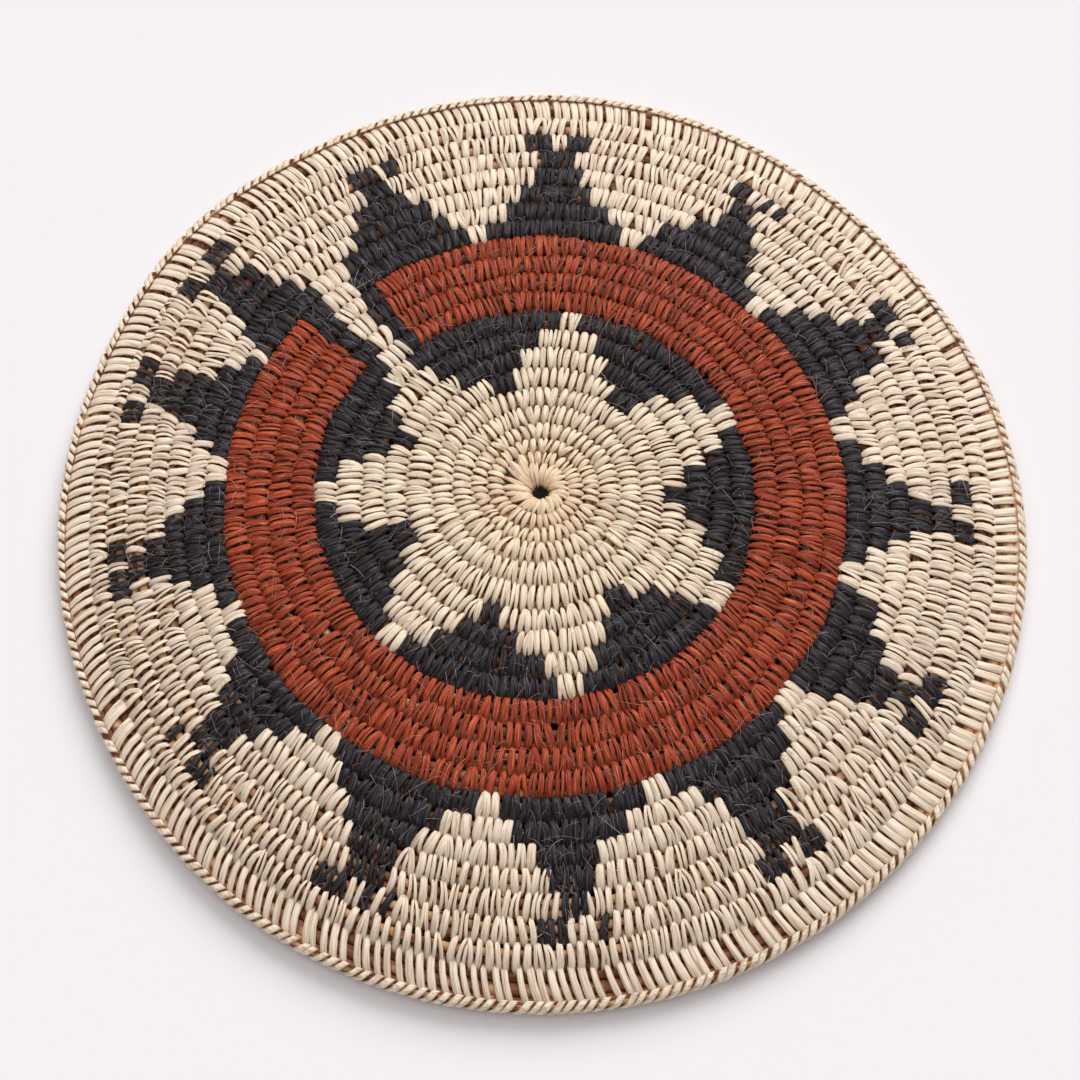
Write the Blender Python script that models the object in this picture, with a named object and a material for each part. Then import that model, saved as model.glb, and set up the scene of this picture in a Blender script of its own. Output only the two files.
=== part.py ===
"""A coiled ceremonial basket, lying with its domed side up on its flat-cut rim.

One coil winds clockwise outwards from a small centre hole. Its splints change colour along the way,
so each field of one colour is a run of neighbouring turns: a white star on a dark ground, a red band
with a white pathway through it, and stepped dark mountains towards the rim. Every field is a piece of
its own that follows the ribs of the coil, and the rim is a bundle of rods in a binding, edged by a braid.
Sizes are in metres and angles in degrees, counted anticlockwise from +X.
"""

import math

import bmesh
import bpy
from mathutils import Vector

# The basket as a whole
RIM_RADIUS = 0.170  # centre to the outside of the braid, the narrow way
OVAL_SHARE = 0.045  # how much further the rim reaches along Y
OVAL_POWER = 2.5
DOME_RISE = 0.020  # height of the centre over the rim
DOME_POWER = 2.6
GAP = 0.0003  # between neighbouring pieces

# The coil
TURNS = 20  # inside the rim
COIL_THICKNESS = 0.0078
GROOVE_DEPTH = 0.0022
HOLE_RADIUS = 0.003
SEAM = 134  # where each turn is counted from, on the pathway
START_STEP = -357  # where the start ring's near end lies, counted back from the first turn
LAST_STEP = 356  # degree of the last turn at which it has run out
OUTER_TURNS = 7  # turns that share the room between the red band and the rim
TAPER_START_SHARE = 0.88  # share of a turn after which the last one narrows

# The rim
RIM_WIDTH = 0.0112  # binding and braid together
RIM_HEIGHT = 0.0092
RIM_SHOULDER = 0.0024  # how far the binding's corners are rounded off
FOOT_WIDTH = 0.0050  # flat underside
ROD_RADIUS = 0.00135
BRAID_WIDTH = 0.0030
BRAID_HEIGHT = 0.0056
BRAID_SHOULDER = 0.0012
RIM_END_GAP = 0.0012  # between the two ends of the last turn

# How finely the pieces are faceted
FACET = 12  # degrees
CENTRE_FACET = 20  # degrees, on the small turns inside the star
FLAT = math.radians(0.25)
CENTRE_FLAT = math.radians(2)

# Around the hole the turns are narrower and step outwards in one place: turns and radius of the groove
CENTRE_GROOVE = (
    (0.05, 0.0103),
    (0.37, 0.0094),
    (0.60, 0.0088),
    (0.75, 0.0095),
    (0.87, 0.0127),
    (0.95, 0.0142),
    (1.05, 0.0155),
    (1.37, 0.0150),
    (1.60, 0.0142),
    (1.80, 0.0167),
    (1.93, 0.0194),
    (2.05, 0.0205),
    (2.40, 0.0206),
    (2.65, 0.0201),
    (2.80, 0.0218),
    (2.90, 0.0246),
    (3.05, 0.0260),
    (3.40, 0.0278),
    (3.60, 0.0273),
    (3.80, 0.0296),
    (3.95, 0.0320),
    (4.10, 0.0332),
    (4.40, 0.0349),
    (4.70, 0.0364),
    (5.00, 0.0397),
)
CENTRE_TURNS = 5

# Where the hand let the rim wander: angle, spread in degrees, and share of the radius
RIM_WANDER = ((40, 24, -0.021), (139, 14, 0.016), (340, 45, 0.006), (208, 20, -0.008))
WANDER_POWER = 4

# Turns of each zone, counted from the centre
STAR_ROWS = (5, 6, 7, 8)
RED_ROWS = (9, 10, 11, 12)
MOUNTAIN_ROWS = (13, 14, 15, 16, 17)
SQUARES_ROW = 18

# First and last degree of each dark mound of the inner star, from its turn nearest the centre outwards
INNER_MOUNDS = (
    ((46, 56), (42, 64), (36, 71), (29, 77)),
    ((101, 112), (97, 125), (91, 129), (83, 132)),
    ((154, 161), (149, 166), (141, 170), (138, 176)),
    ((195, 204), (194, 212), (190, 218), (182, 223)),
    ((248, 253), (241, 263), (236, 270), (230, 275)),
    ((298, 309), (292, 316), (287, 320), (281, 323)),
    ((354, 363), (346, 369), (339, 374), (331, 382)),
)

# The pathway and its dark borders through the red band
PATHWAY = (130, 136)
PATHWAY_BORDERS = ((125, 130), (136, 141))

# First and last degree of each white wedge between two mountains, from the red band outwards
WEDGES = (
    ((12, 16), (8, 19), (4, 22), (0, 25), (0, 27)),
    ((42, 46), (39, 49), (36, 51), (33, 54), (32, 55)),
    ((70, 75), (67, 77), (63, 81), (60, 83), (59, 85)),
    ((100, 104), (96, 107), (94, 110), (91, 113), (90, 114)),
    ((129, 135), (127, 136), (123, 137), (120, 138), (119, 140)),
    ((150, 153), (148, 155), (147, 158), (145, 159), (145, 160)),
    ((172, 176), (170, 180), (166, 183), (165, 185), (164, 187)),
    ((200, 204), (196, 209), (193, 212), (192, 214), (191, 215)),
    ((229, 233), (225, 237), (222, 240), (221, 243), (219, 244)),
    ((259, 263), (255, 266), (252, 269), (250, 271), (249, 272)),
    ((287, 291), (283, 296), (279, 299), (278, 300), (276, 301)),
    ((316, 321), (313, 323), (310, 325), (307, 327), (306, 329)),
    ((343, 348), (341, 350), (336, 354), (333, 355), (333, 356)),
)
PATHWAY_WEDGE = 4  # the wedge that the pathway runs out through

# The two dark squares on top of each mountain
SQUARES = (
    ((24, 28), (30, 34)),
    ((52, 56), (58, 61)),
    ((82, 86), (88, 92)),
    ((111, 115), (117, 120)),
    ((138, 141), (144, 148)),
    ((158, 161), (163, 168)),
    ((184, 188), (190, 193)),
    ((212, 216), (218, 222)),
    ((241, 245), (247, 251)),
    ((270, 273), (275, 279)),
    ((300, 303), (305, 309)),
    ((326, 330), (332, 335)),
    ((354, 357), (359, 363)),
)

# Colour and roughness of each kind of splint
WHITE = ("white_splint", (0.62, 0.52, 0.38), 0.60)
BLACK = ("black_splint", (0.030, 0.026, 0.029), 0.55)
RED = ("red_splint", (0.31, 0.055, 0.028), 0.60)
ROD = ("bare_rod", (0.30, 0.15, 0.06), 0.70)

# Sizes that follow from the ones above
RIM_INSIDE = RIM_RADIUS - RIM_WIDTH
PITCH = RIM_INSIDE / TURNS
HALF_GAP = GAP / 2
LARGEST_SHIFT = 0.9  # degrees, inside one cell
FULL_TURN = 360
TOP, BOTTOM = 1, -1
JUST_BEFORE = 1e-9  # turns

# Shares of a turn's width at which its skin reaches full height: a broad top, and a ridge below
RIBS = {TOP: (0.16, 0.68), BOTTOM: (0.5,)}


def clear_scene():
    for item in list(bpy.data.objects):
        bpy.data.objects.remove(item, do_unlink=True)


def splint_material(finish):
    name, colour, roughness = finish
    material = bpy.data.materials.get(name)
    if material is None:
        material = bpy.data.materials.new(name)
        material.use_nodes = True
        shader = material.node_tree.nodes["Principled BSDF"]
        shader.inputs["Base Color"].default_value = (*colour, 1)
        shader.inputs["Roughness"].default_value = roughness
        shader.inputs["Metallic"].default_value = 0
    return material


def add_piece(name, mesh_builder, finish):
    """Turns a finished bmesh into a named object of one material."""
    bmesh.ops.recalc_face_normals(mesh_builder, faces=mesh_builder.faces)
    mesh = bpy.data.meshes.new(name)
    mesh_builder.to_mesh(mesh)
    mesh_builder.free()
    mesh.materials.append(splint_material(finish))
    piece = bpy.data.objects.new(name, mesh)
    bpy.context.scene.collection.objects.link(piece)
    return piece


def wander(angle):
    """Share of the radius by which the rim strays from a true oval at this angle."""
    total = 0
    for middle, spread, share in RIM_WANDER:
        off = (angle - middle + FULL_TURN / 2) % FULL_TURN - FULL_TURN / 2
        total += share * math.exp(-((off / spread) ** 2))
    return total


def on_plan(radius, angle, height):
    """A point of the basket, from its round radius, its angle and its height."""
    reach = radius / RIM_RADIUS
    out = radius * (1 + wander(angle) * reach**WANDER_POWER)
    stretch = 1 + OVAL_SHARE * reach**OVAL_POWER
    turned = math.radians(angle)
    return Vector((out * math.cos(turned), out * stretch * math.sin(turned), height))


def dome_height(radius):
    """Height of the middle of the coil's thickness."""
    return RIM_HEIGHT / 2 + DOME_RISE * (1 - (radius / RIM_RADIUS) ** DOME_POWER)


def outer_turns_at(part_turn):
    """How many turns lie between the red band and the rim: the last one runs out before the seam."""
    narrowing = (part_turn - TAPER_START_SHARE) / (1 - TAPER_START_SHARE)
    return OUTER_TURNS - max(0, narrowing)


def centre_groove(turn):
    """Radius read from the table of the narrower turns around the hole."""
    before, after = CENTRE_GROOVE[0], CENTRE_GROOVE[0]
    for station in CENTRE_GROOVE:
        before, after = after, station
        if turn <= station[0]:
            break
    if turn <= before[0]:
        return before[1]
    share = (turn - before[0]) / (after[0] - before[0])
    return before[1] + (after[1] - before[1]) * share


def groove_radius(turn):
    """Radius of the groove on the inner side of the coil, after this many turns."""
    if turn < 0:
        return HOLE_RADIUS
    if turn < CENTRE_TURNS:
        return centre_groove(turn)
    first_outer = TURNS - OUTER_TURNS
    row = math.floor(turn)
    part_turn = turn - row
    if row <= first_outer:
        return PITCH * turn
    band_edge = PITCH * (first_outer + part_turn)
    turns_left = outer_turns_at(part_turn)
    share = min(row - first_outer, turns_left) / turns_left
    return band_edge + (RIM_INSIDE - band_edge) * share


def groove_point(turn, side):
    radius = groove_radius(turn)
    half = COIL_THICKNESS / 2 - GROOVE_DEPTH
    return on_plan(radius, SEAM - FULL_TURN * turn, dome_height(radius) + side * half)


def rib_point(turn, side, share):
    """Point of the skin at full height, at this share of the turn's width."""
    inner, outer = groove_radius(turn), groove_radius(turn + 1)
    radius = inner + share * (outer - inner)
    rise = GROOVE_DEPTH * min(1, (outer - inner) / PITCH)
    half = COIL_THICKNESS / 2 - GROOVE_DEPTH + rise
    return on_plan(radius, SEAM - FULL_TURN * turn, dome_height(radius) + side * half)


def faceted(corner, step, *place):
    """The point after this many degrees along the coil, on the straight facet between two corners."""
    facet = CENTRE_FACET if step < STAR_ROWS[0] * FULL_TURN else FACET
    start = math.floor(step / facet) * facet
    first = corner(start / FULL_TURN, *place)
    last = corner((start + facet) / FULL_TURN - JUST_BEFORE, *place)
    return first.lerp(last, (step - start) / facet)


def in_span(angle, span):
    first, last = span
    return (angle - first) % FULL_TURN < last - first


def outer_field(angle, row):
    """Name of the mountain, wedge or pathway that this degree of an outer turn belongs to."""
    level = row - MOUNTAIN_ROWS[0]
    for number, wedge in enumerate(WEDGES):
        if in_span(angle, wedge[level]):
            return "pathway" if number == PATHWAY_WEDGE else wedge_name(number)
    starts = [(angle - wedge[level][1]) % FULL_TURN for wedge in WEDGES]
    return f"mountain_{starts.index(min(starts)) + 1:02d}"


def wedge_name(number):
    return f"white_wedge_{number + 1 - (number > PATHWAY_WEDGE):02d}"


def squares_field(angle):
    """Name of the field in the turn of small squares."""
    for number, (first, second) in enumerate(SQUARES):
        if in_span(angle, first) or in_span(angle, second):
            return f"mountain_{number + 1:02d}"
        if in_span(angle, (first[1], second[0])):
            return "outer_plain_turn"
    starts = [(angle - second[1]) % FULL_TURN for _, second in SQUARES]
    number = (starts.index(min(starts)) + 1) % len(WEDGES)
    return "pathway" if number == PATHWAY_WEDGE else wedge_name(number)


def star_field(angle, row):
    """Name of the mound or star tip in one of the four turns of the inner star."""
    level = row - STAR_ROWS[0]
    for number, mound in enumerate(INNER_MOUNDS):
        if in_span(angle, mound[level]):
            return f"inner_mound_{number + 1}"
    starts = [(angle - mound[level][1]) % FULL_TURN for mound in INNER_MOUNDS]
    number = (starts.index(min(starts)) + 1) % len(INNER_MOUNDS)
    return ("star_tip_1", "star_tip_2", "pathway", "star_tip_3", "star_tip_4", "star_tip_5", "star_tip_6")[number]


def field_name(cell):
    """Name of the piece that holds this one-degree length of the coil, or None past its ends."""
    row, step = divmod(cell, FULL_TURN)
    angle = SEAM - step - 0.5
    if row == TURNS - 1 and step >= LAST_STEP:
        return None
    if row < 0:
        return "start_ring"
    if row < STAR_ROWS[0]:
        return "star_centre"
    if row in STAR_ROWS:
        return star_field(angle, row)
    if row in RED_ROWS:
        if in_span(angle, PATHWAY):
            return "pathway"
        for number, border in enumerate(PATHWAY_BORDERS):
            if in_span(angle, border):
                return f"pathway_border_{number + 1}"
        return "red_band"
    if row in MOUNTAIN_ROWS:
        return outer_field(angle, row)
    return squares_field(angle) if row == SQUARES_ROW else "outer_plain_turn"


def sign(value):
    return (value > 0) - (value < 0)


class Field:
    """One piece of the coil: the skin round all of its one-degree lengths."""

    def __init__(self, cells):
        self.cells = cells
        self.builder = bmesh.new()
        self.corners = {}

    def holds(self, cell):
        return cell in self.cells

    def edge_step(self, step, toward, turn_radius):
        """A step moved off its edge by half the gap, towards the cells that are held."""
        return step + toward * min(LARGEST_SHIFT, math.degrees(HALF_GAP / turn_radius))

    def groove(self, step, side):
        """Corner on the groove at the inner side of cell step, moved clear of other pieces."""
        key = ("groove", step, side)
        if key not in self.corners:
            outer = [self.holds(step - 1), self.holds(step)]
            inner = [self.holds(step - 1 - FULL_TURN), self.holds(step - FULL_TURN)]
            along = sign(outer[1] + inner[1] - outer[0] - inner[0])
            across = sign(sum(outer) - sum(inner))
            moved = self.edge_step(step, along, groove_radius(step / FULL_TURN))
            point = faceted(groove_point, moved, side)
            if across:
                rib_step = moved if across > 0 else moved - FULL_TURN
                rib = faceted(rib_point, rib_step, side, RIBS[side][0 if across > 0 else -1])
                point = point.lerp(rib, HALF_GAP / (rib - point).xy.length)
            self.corners[key] = self.builder.verts.new(point)
        return self.corners[key]

    def rib(self, step, side, share):
        """Corner on a rib of the turn that cell step is in, moved clear of the piece before or after."""
        key = ("rib", step, side, share)
        if key not in self.corners:
            along = sign(self.holds(step) - self.holds(step - 1))
            moved = self.edge_step(step, along, groove_radius(step / FULL_TURN + 0.5))
            self.corners[key] = self.builder.verts.new(faceted(rib_point, moved, side, share))
        return self.corners[key]

    def section(self, step, side):
        """Corners across the turn of a cell at one of its ends, from its inner groove to its outer one."""
        ribs = [self.rib(step, side, share) for share in RIBS[side]]
        return [self.groove(step, side), *ribs, self.groove(step + FULL_TURN, side)]

    def skin(self):
        for cell in sorted(self.cells):
            near, far = ({side: self.section(step, side) for side in RIBS} for step in (cell, cell + 1))
            for side in RIBS:
                for rib in range(len(near[side]) - 1):
                    corners = (near[side][rib], far[side][rib], far[side][rib + 1], near[side][rib + 1])
                    self.builder.faces.new(corners)
            for end, neighbour in ((near, cell - 1), (far, cell + 1)):
                if not self.holds(neighbour):
                    self.builder.faces.new(end[TOP] + end[BOTTOM][::-1])
            for edge, neighbour in ((0, cell - FULL_TURN), (-1, cell + FULL_TURN)):
                if not self.holds(neighbour):
                    self.builder.faces.new((near[TOP][edge], far[TOP][edge], far[BOTTOM][edge], near[BOTTOM][edge]))
        return self.builder


def merge_flat_faces(builder, flat):
    """Joins the one-degree faces of each facet, so that only real corners are left."""
    bmesh.ops.recalc_face_normals(builder, faces=builder.faces)
    bmesh.ops.dissolve_limit(
        builder, angle_limit=flat, use_dissolve_boundaries=False, verts=builder.verts, edges=builder.edges
    )


def coil_finish(name):
    if name.startswith(("mountain", "inner_mound", "pathway_border")):
        return BLACK
    return RED if name == "red_band" else WHITE


def make_coil():
    fields = {}
    for cell in range(START_STEP, TURNS * FULL_TURN):
        name = field_name(cell)
        if name:
            fields.setdefault(name, set()).add(cell)
    for name, cells in fields.items():
        builder = Field(cells).skin()
        merge_flat_faces(builder, CENTRE_FLAT if name in ("start_ring", "star_centre") else FLAT)
        add_piece(name, builder, coil_finish(name))


def ring(name, section, finish, closed=True, bore=None):
    """Sweeps a section of (radius, height) points round the basket, as a whole ring or open at the seam."""
    builder = bmesh.new()
    count = FULL_TURN // FACET
    loops = []
    for outline in [section] + ([bore] if bore else []):
        stations = []
        for index in range(count + (not closed)):
            angle = SEAM - FACET * index
            if not closed and index in (0, count):
                middle = sum(radius for radius, _ in section) / len(section)
                angle += (-1 if index == 0 else 1) * math.degrees(RIM_END_GAP / 2 / middle)
            stations.append([builder.verts.new(on_plan(radius, angle, height)) for radius, height in outline])
        if closed:
            stations.append(stations[0])
        for near, far in zip(stations, stations[1:]):
            for index in range(len(outline)):
                after = (index + 1) % len(outline)
                builder.faces.new((near[index], near[after], far[after], far[index]))
        loops.append(stations)
    if not closed:
        for end in (0, -1):
            corners = [stations[end] for stations in loops]
            if not bore:
                builder.faces.new(corners[0])
                continue
            for index in range(len(section)):
                after = (index + 1) % len(section)
                outer, inner = corners
                builder.faces.new((outer[index], outer[after], inner[after], inner[index]))
    return add_piece(name, builder, finish)


def round_section(radius, height, size, count):
    """A many-sided circle of this size around a place in the rim's section, from its lower left."""
    points = []
    for index in range(count):
        turned = 2 * math.pi * (index - count / 4 - 0.5) / count
        points.append((radius + size * math.cos(turned), height + size * math.sin(turned)))
    return points


def make_rim():
    inside = RIM_INSIDE + HALF_GAP
    outside = RIM_RADIUS - BRAID_WIDTH - GAP
    middle = (inside + outside) / 2
    level = RIM_HEIGHT / 2
    binding = (
        (middle - FOOT_WIDTH / 2, 0),
        (middle + FOOT_WIDTH / 2, 0),
        (outside, RIM_SHOULDER),
        (outside, RIM_HEIGHT - RIM_SHOULDER),
        (outside - RIM_SHOULDER, RIM_HEIGHT),
        (inside + RIM_SHOULDER, RIM_HEIGHT),
        (inside, RIM_HEIGHT - RIM_SHOULDER),
        (inside, RIM_SHOULDER),
    )
    bundle_radius = (2 * ROD_RADIUS + GAP) / math.sqrt(3)
    bore_radius = bundle_radius + ROD_RADIUS + GAP
    ring("rim_binding", binding, WHITE, closed=False, bore=round_section(middle, level, bore_radius, 8))
    for number in range(3):
        turned = 2 * math.pi * (number / 3 + 0.25)
        radius = middle + bundle_radius * math.cos(turned)
        height = level + bundle_radius * math.sin(turned)
        ring(f"rim_rod_{number + 1}", round_section(radius, height, ROD_RADIUS, 6), ROD, closed=False)
    braid_inside = RIM_RADIUS - BRAID_WIDTH
    braid_low = RIM_HEIGHT - RIM_SHOULDER / 2 - BRAID_HEIGHT
    braid = (
        (braid_inside, braid_low),
        (RIM_RADIUS - BRAID_SHOULDER, braid_low),
        (RIM_RADIUS, braid_low + BRAID_HEIGHT / 3),
        (RIM_RADIUS, braid_low + BRAID_HEIGHT - BRAID_SHOULDER),
        (RIM_RADIUS - BRAID_SHOULDER, braid_low + BRAID_HEIGHT),
        (braid_inside, braid_low + BRAID_HEIGHT),
    )
    ring("rim_braid", braid, WHITE)


clear_scene()
make_coil()
make_rim()
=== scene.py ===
"""Looks of a coiled ceremonial basket, lying domed side up.

Every splint stitch is a copy of one modelled loop, laid along the spiral of the coil over its
foundation rods. Sizes are in metres and angles in degrees, counted anticlockwise from +X.
"""

import functools
import math

import bpy
import numpy as np
from bpy.props import FloatProperty, FloatVectorProperty, IntProperty, PointerProperty
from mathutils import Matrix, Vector


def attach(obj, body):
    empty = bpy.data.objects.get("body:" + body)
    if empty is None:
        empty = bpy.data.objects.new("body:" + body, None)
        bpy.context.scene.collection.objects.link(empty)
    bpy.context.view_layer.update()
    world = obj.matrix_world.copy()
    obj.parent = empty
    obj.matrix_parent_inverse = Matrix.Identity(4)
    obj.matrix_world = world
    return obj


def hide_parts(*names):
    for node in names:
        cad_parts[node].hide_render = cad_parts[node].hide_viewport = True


bl_info = {
    "name": "Coiled ceremonial basket",
    "version": (1, 0, 0),
    "blender": (4, 5, 0),
    "location": "View3D > Sidebar > Basket",
    "description": "Stitches, rods, rim and braid of a coiled basket",
    "category": "Object",
}

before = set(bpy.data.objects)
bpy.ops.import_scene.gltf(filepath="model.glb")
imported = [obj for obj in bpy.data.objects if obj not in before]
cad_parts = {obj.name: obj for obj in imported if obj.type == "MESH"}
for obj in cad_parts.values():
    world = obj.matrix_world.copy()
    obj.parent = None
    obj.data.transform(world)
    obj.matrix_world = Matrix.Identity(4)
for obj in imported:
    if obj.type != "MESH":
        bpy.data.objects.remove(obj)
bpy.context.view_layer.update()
BODY = "root"

# The coil, by the same rule as the solids
RIM_RADIUS = 0.170
RIM_WIDTH = 0.0112
RIM_HEIGHT = 0.0092
OVAL_SHARE = 0.045
OVAL_POWER = 2.5
DOME_RISE = 0.020
DOME_POWER = 2.6
HALF_COIL = 0.0033  # half the coil's thickness inside the splints
HOLE_RADIUS = 0.003
TURNS = 20
STITCHED_TURNS = (0.03, TURNS - 0.02)
ROD_TURNS = (0.02, TURNS - 0.015)
OUTER_TURNS = 7
TAPER_START_SHARE = 0.88
SEAM = 134
# Where the outline strays from the oval: angle, spread and by what share
RIM_WANDER = ((40, 24, -0.021), (139, 14, 0.016), (340, 45, 0.006), (208, 20, -0.008))
WANDER_POWER = 4
RIM_INSIDE = RIM_RADIUS - RIM_WIDTH
PITCH = RIM_INSIDE / TURNS
FULL_TURN = 360

# Turns of each zone, counted from the centre
STAR_ROWS = (5, 6, 7, 8)
RED_ROWS = (9, 10, 11, 12)
MOUNTAIN_ROWS = (13, 14, 15, 16, 17)
SQUARES_ROW = 18

# First and last degree of each dark mound of the inner star, from its turn nearest the centre outwards
INNER_MOUNDS = (
    ((46.3, 55.7), (41.8, 63.5), (36.2, 71.2), (28.7, 77.1)),
    ((101.1, 112.3), (96.8, 125), (91, 129.1), (83.2, 131.7)),
    ((153.8, 160.7), (149, 166.5), (141.2, 170.3), (137.9, 176.5)),
    ((195.3, 204.1), (194.1, 212.1), (189.8, 218), (182, 223.3)),
    ((248, 253.3), (241.1, 262.8), (236, 270), (229.7, 275.3)),
    ((298.4, 309.2), (292.2, 315.8), (286.9, 319.5), (280.9, 323.4)),
    ((354, 362.7), (346.4, 369), (339.2, 374.5), (330.9, 381.5)),
)
STAR_TIPS = [f"star_tip_{number}" for number in range(1, 7)]
STAR_GAPS = (*STAR_TIPS[:2], "pathway", *STAR_TIPS[2:])

# The pathway and its dark borders through the red band
PATHWAY_SPANS = {
    "pathway": (130.4, 135.7),
    "pathway_border_1": (125.4, 130.4),
    "pathway_border_2": (135.7, 140.7),
}

# First and last degree of each white wedge between two mountains, from the red band outwards
WEDGES = (
    ((11.6, 15.9), (7.5, 19.2), (3.8, 22.5), (0.4, 24.7), (0.1, 27.1)),
    ((42.1, 46.1), (39, 49.1), (35.9, 51.1), (32.6, 53.5), (31.5, 54.8)),
    ((70.4, 74.7), (67, 77.4), (63.4, 81.1), (60.3, 83.3), (58.6, 85.3)),
    ((99.8, 104.1), (96.4, 107.1), (93.6, 109.8), (91, 112.7), (89.7, 114.4)),
    ((129.4, 134.7), (127, 135.9), (123.1, 137.4), (120.5, 138), (118.6, 140.4)),
    ((149.6, 152.4), (148.4, 155), (146.9, 157.5), (145.4, 158.8), (144.8, 160.2)),
    ((172.1, 176.1), (169.7, 180.2), (166.3, 183.2), (164.9, 185.2), (164.4, 186.9)),
    ((199.9, 204.4), (196.5, 209.3), (193.1, 212.2), (191.7, 214.4), (191, 215.5)),
    ((229, 233.2), (225.1, 236.9), (222.4, 240.3), (220.7, 242.6), (219.4, 244)),
    ((259.3, 263), (255, 265.8), (251.6, 268.8), (249.8, 271.4), (248.9, 272)),
    ((287, 291.3), (283.3, 295.9), (279.3, 298.6), (277.6, 300.3), (276, 300.9)),
    ((316.2, 321.1), (313.1, 323.4), (309.5, 325.4), (306.9, 327.1), (306.2, 328.9)),
    ((342.6, 347.7), (341, 350.5), (336.1, 353.6), (333.2, 355.3), (331.9, 356.3)),
)
PATHWAY_WEDGE = 4

# The two dark squares on top of each mountain
SQUARES = (
    ((24.3, 27.5), (29.4, 33.7)),
    ((51.9, 55.1), (57.7, 60.9)),
    ((82.4, 85.9), (88.1, 92.4)),
    ((111.2, 114.2), (115.7, 119)),
    ((137.9, 141.2), (144.4, 147.7)),
    ((157.6, 161.1), (163.8, 167.6)),
    ((184.8, 187.4), (189.4, 193.3)),
    ((211.4, 214.8), (217.6, 221.7)),
    ((240, 244.4), (246.9, 250.7)),
    ((270, 273.4), (275.8, 279.2)),
    ((299.6, 303.4), (305.2, 308.6)),
    ((326.2, 329.2), (331.7, 335)),
    ((354.3, 357.6), (359.9, 363.8)),
)

# One splint loop round the coil: place of each station as shares of the pitch and of half the coil,
# and its share of the splint's full width, from the outer side over the top to the inner side and under
LOOP_STATIONS = (
    (0.60, -0.20, 0.20),
    (0.59, 0.25, 0.30),
    (0.49, 0.68, 0.56),
    (0.25, 1.02, 0.90),
    (-0.06, 1.15, 1.00),
    (-0.35, 1.00, 0.92),
    (-0.55, 0.66, 0.50),
    (-0.61, 0.00, 0.26),
    (-0.38, -0.76, 0.72),
    (0.06, -1.06, 1.00),
    (0.50, -0.78, 0.70),
)
# Where a knot or rim stitch is measured from, and over what length, as shares of the pitch
LOOP_INNER = -0.57
LOOP_LENGTH = 1.16
LOOP_SIDES = 8
SPLINT_WIDTH = 0.0028
SPLINT_THICKNESS = 0.0008
SPLINT_FLATNESS = 1.2  # how far every other corner of its section stands out
CRISP_ANGLE = math.radians(52)
STRIP_CUTS = 9
HAIR_CUTS = 7
GRAIN_SHIFT = 7  # how far apart the grain of two copies may lie

# Foundation rods in the coil's section: across and up as shares of the pitch and half the coil, radius,
# and how pale they are
COIL_RODS = ((-0.13, 0.14, 0.0017, 0.49), (0.31, 0.10, 0.0017, 0.36), (0.07, -0.46, 0.0018, 0.1))
OUTER_ROD_ACROSS = 0.2  # rods that lie further out than this dive with the last turn's stitches
OPEN_TURNS = (15, 2.5)  # the turn from which the stitches stand apart, and over how many turns
OPEN_LIFT = 0.19  # how far the rods rise between them, as a share of half the coil
RED_LIFT = 0.12  # how far they rise in the red band
OPEN_FRONT = 215  # degrees: here the stitches stand widest apart
OPEN_ROOM = (0.12, 0.17)  # share of its room that a stitch leaves free there, and how much more in front
INMOST_ROOM = 0.03  # the same for the middle turns
DENSE_FILL = {"white": 0.92, "black": 0.96, "red": 0.82}  # share of its room that a splint takes, by dye
BLUNT_TURNS = (6, 5)  # the turn from which the splints' ends grow blunter, and over how many turns
LAST_TURNS = (TURNS - 1.2, 1)  # the same for the last turn, whose stitches dive under the rim's
LAST_DIVE = 0.0012  # how far they dive
STRAY_SHARE = 0.07  # of the stitches in the dark squares that were left undyed
ROD_SIDES = 8
ROD_STEP = 4  # degrees

# Unevenness of the hand: ranges of a stitch's room, width, length and height, how far it leans, bows and
# rolls, and how wide slivers are, how far apart they lie and how they lean
ROOM_CHOICES = (0.66, 0.86, 1.0, 1.0, 1.08, 1.22)
WIDTH_RANGE = (0.90, 1.10)
LENGTH_RANGE = (0.95, 1.12)
HEIGHT_RANGE = (0.96, 1.06)
LEAN_SPREAD = 0.13
BOW_SPREAD = 0.07
ROLL_SPREAD = 0.12
SLIVER_WIDTH = (0.46, 0.62)
SLIVER_APART = 0.23
SLIVER_LEAN = (-0.06, 0.30)
SLIVER_ROOM = 0.9  # only stitches with more than this share of the usual room are split

# Usual tone of the stitches, and its spread
COIL_TONE = (0.42, 0.26)
SLIVER_TONE = (0, 0.15)  # added to its stitch's
KNOT_TONE = (0.3, 0.25)
RIM_TONE = (0.2, 0.2)
BRAID_TONE = (0.3, 0.25)

# Around the hole the turns are narrower and step outwards in one place: turns and radius of the groove
CENTRE_GROOVE = (
    (0.05, 0.0103), (0.37, 0.0094), (0.60, 0.0088), (0.75, 0.0095), (0.87, 0.0127), (0.95, 0.0142),
    (1.05, 0.0155), (1.37, 0.0150), (1.60, 0.0142), (1.80, 0.0167), (1.93, 0.0194),
    (2.05, 0.0205), (2.40, 0.0206), (2.65, 0.0201), (2.80, 0.0218), (2.90, 0.0246),
    (3.05, 0.0260), (3.40, 0.0278), (3.60, 0.0273), (3.80, 0.0296), (3.95, 0.0320),
    (4.10, 0.0332), (4.40, 0.0349), (4.70, 0.0364), (5.00, 0.0397),
)
CENTRE_TURNS = 5
WOBBLE = 0.00028  # about how far the turns stray inwards and outwards
WOBBLE_WAVES = ((5, 40), (12, -70), (23, 110))  # waves round the basket, and their lean in radians
KNOT_SPAN = (200, 118)  # degrees over which the start stitches reach over the first turn
KNOT_FADE = (15, 4)  # degrees over which they grow at each end of it
KNOT_STITCH_WIDTH = 0.0021
KNOT_RADIUS = 0.0098  # about how far they reach elsewhere
KNOT_REACH = 0.0050
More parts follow.
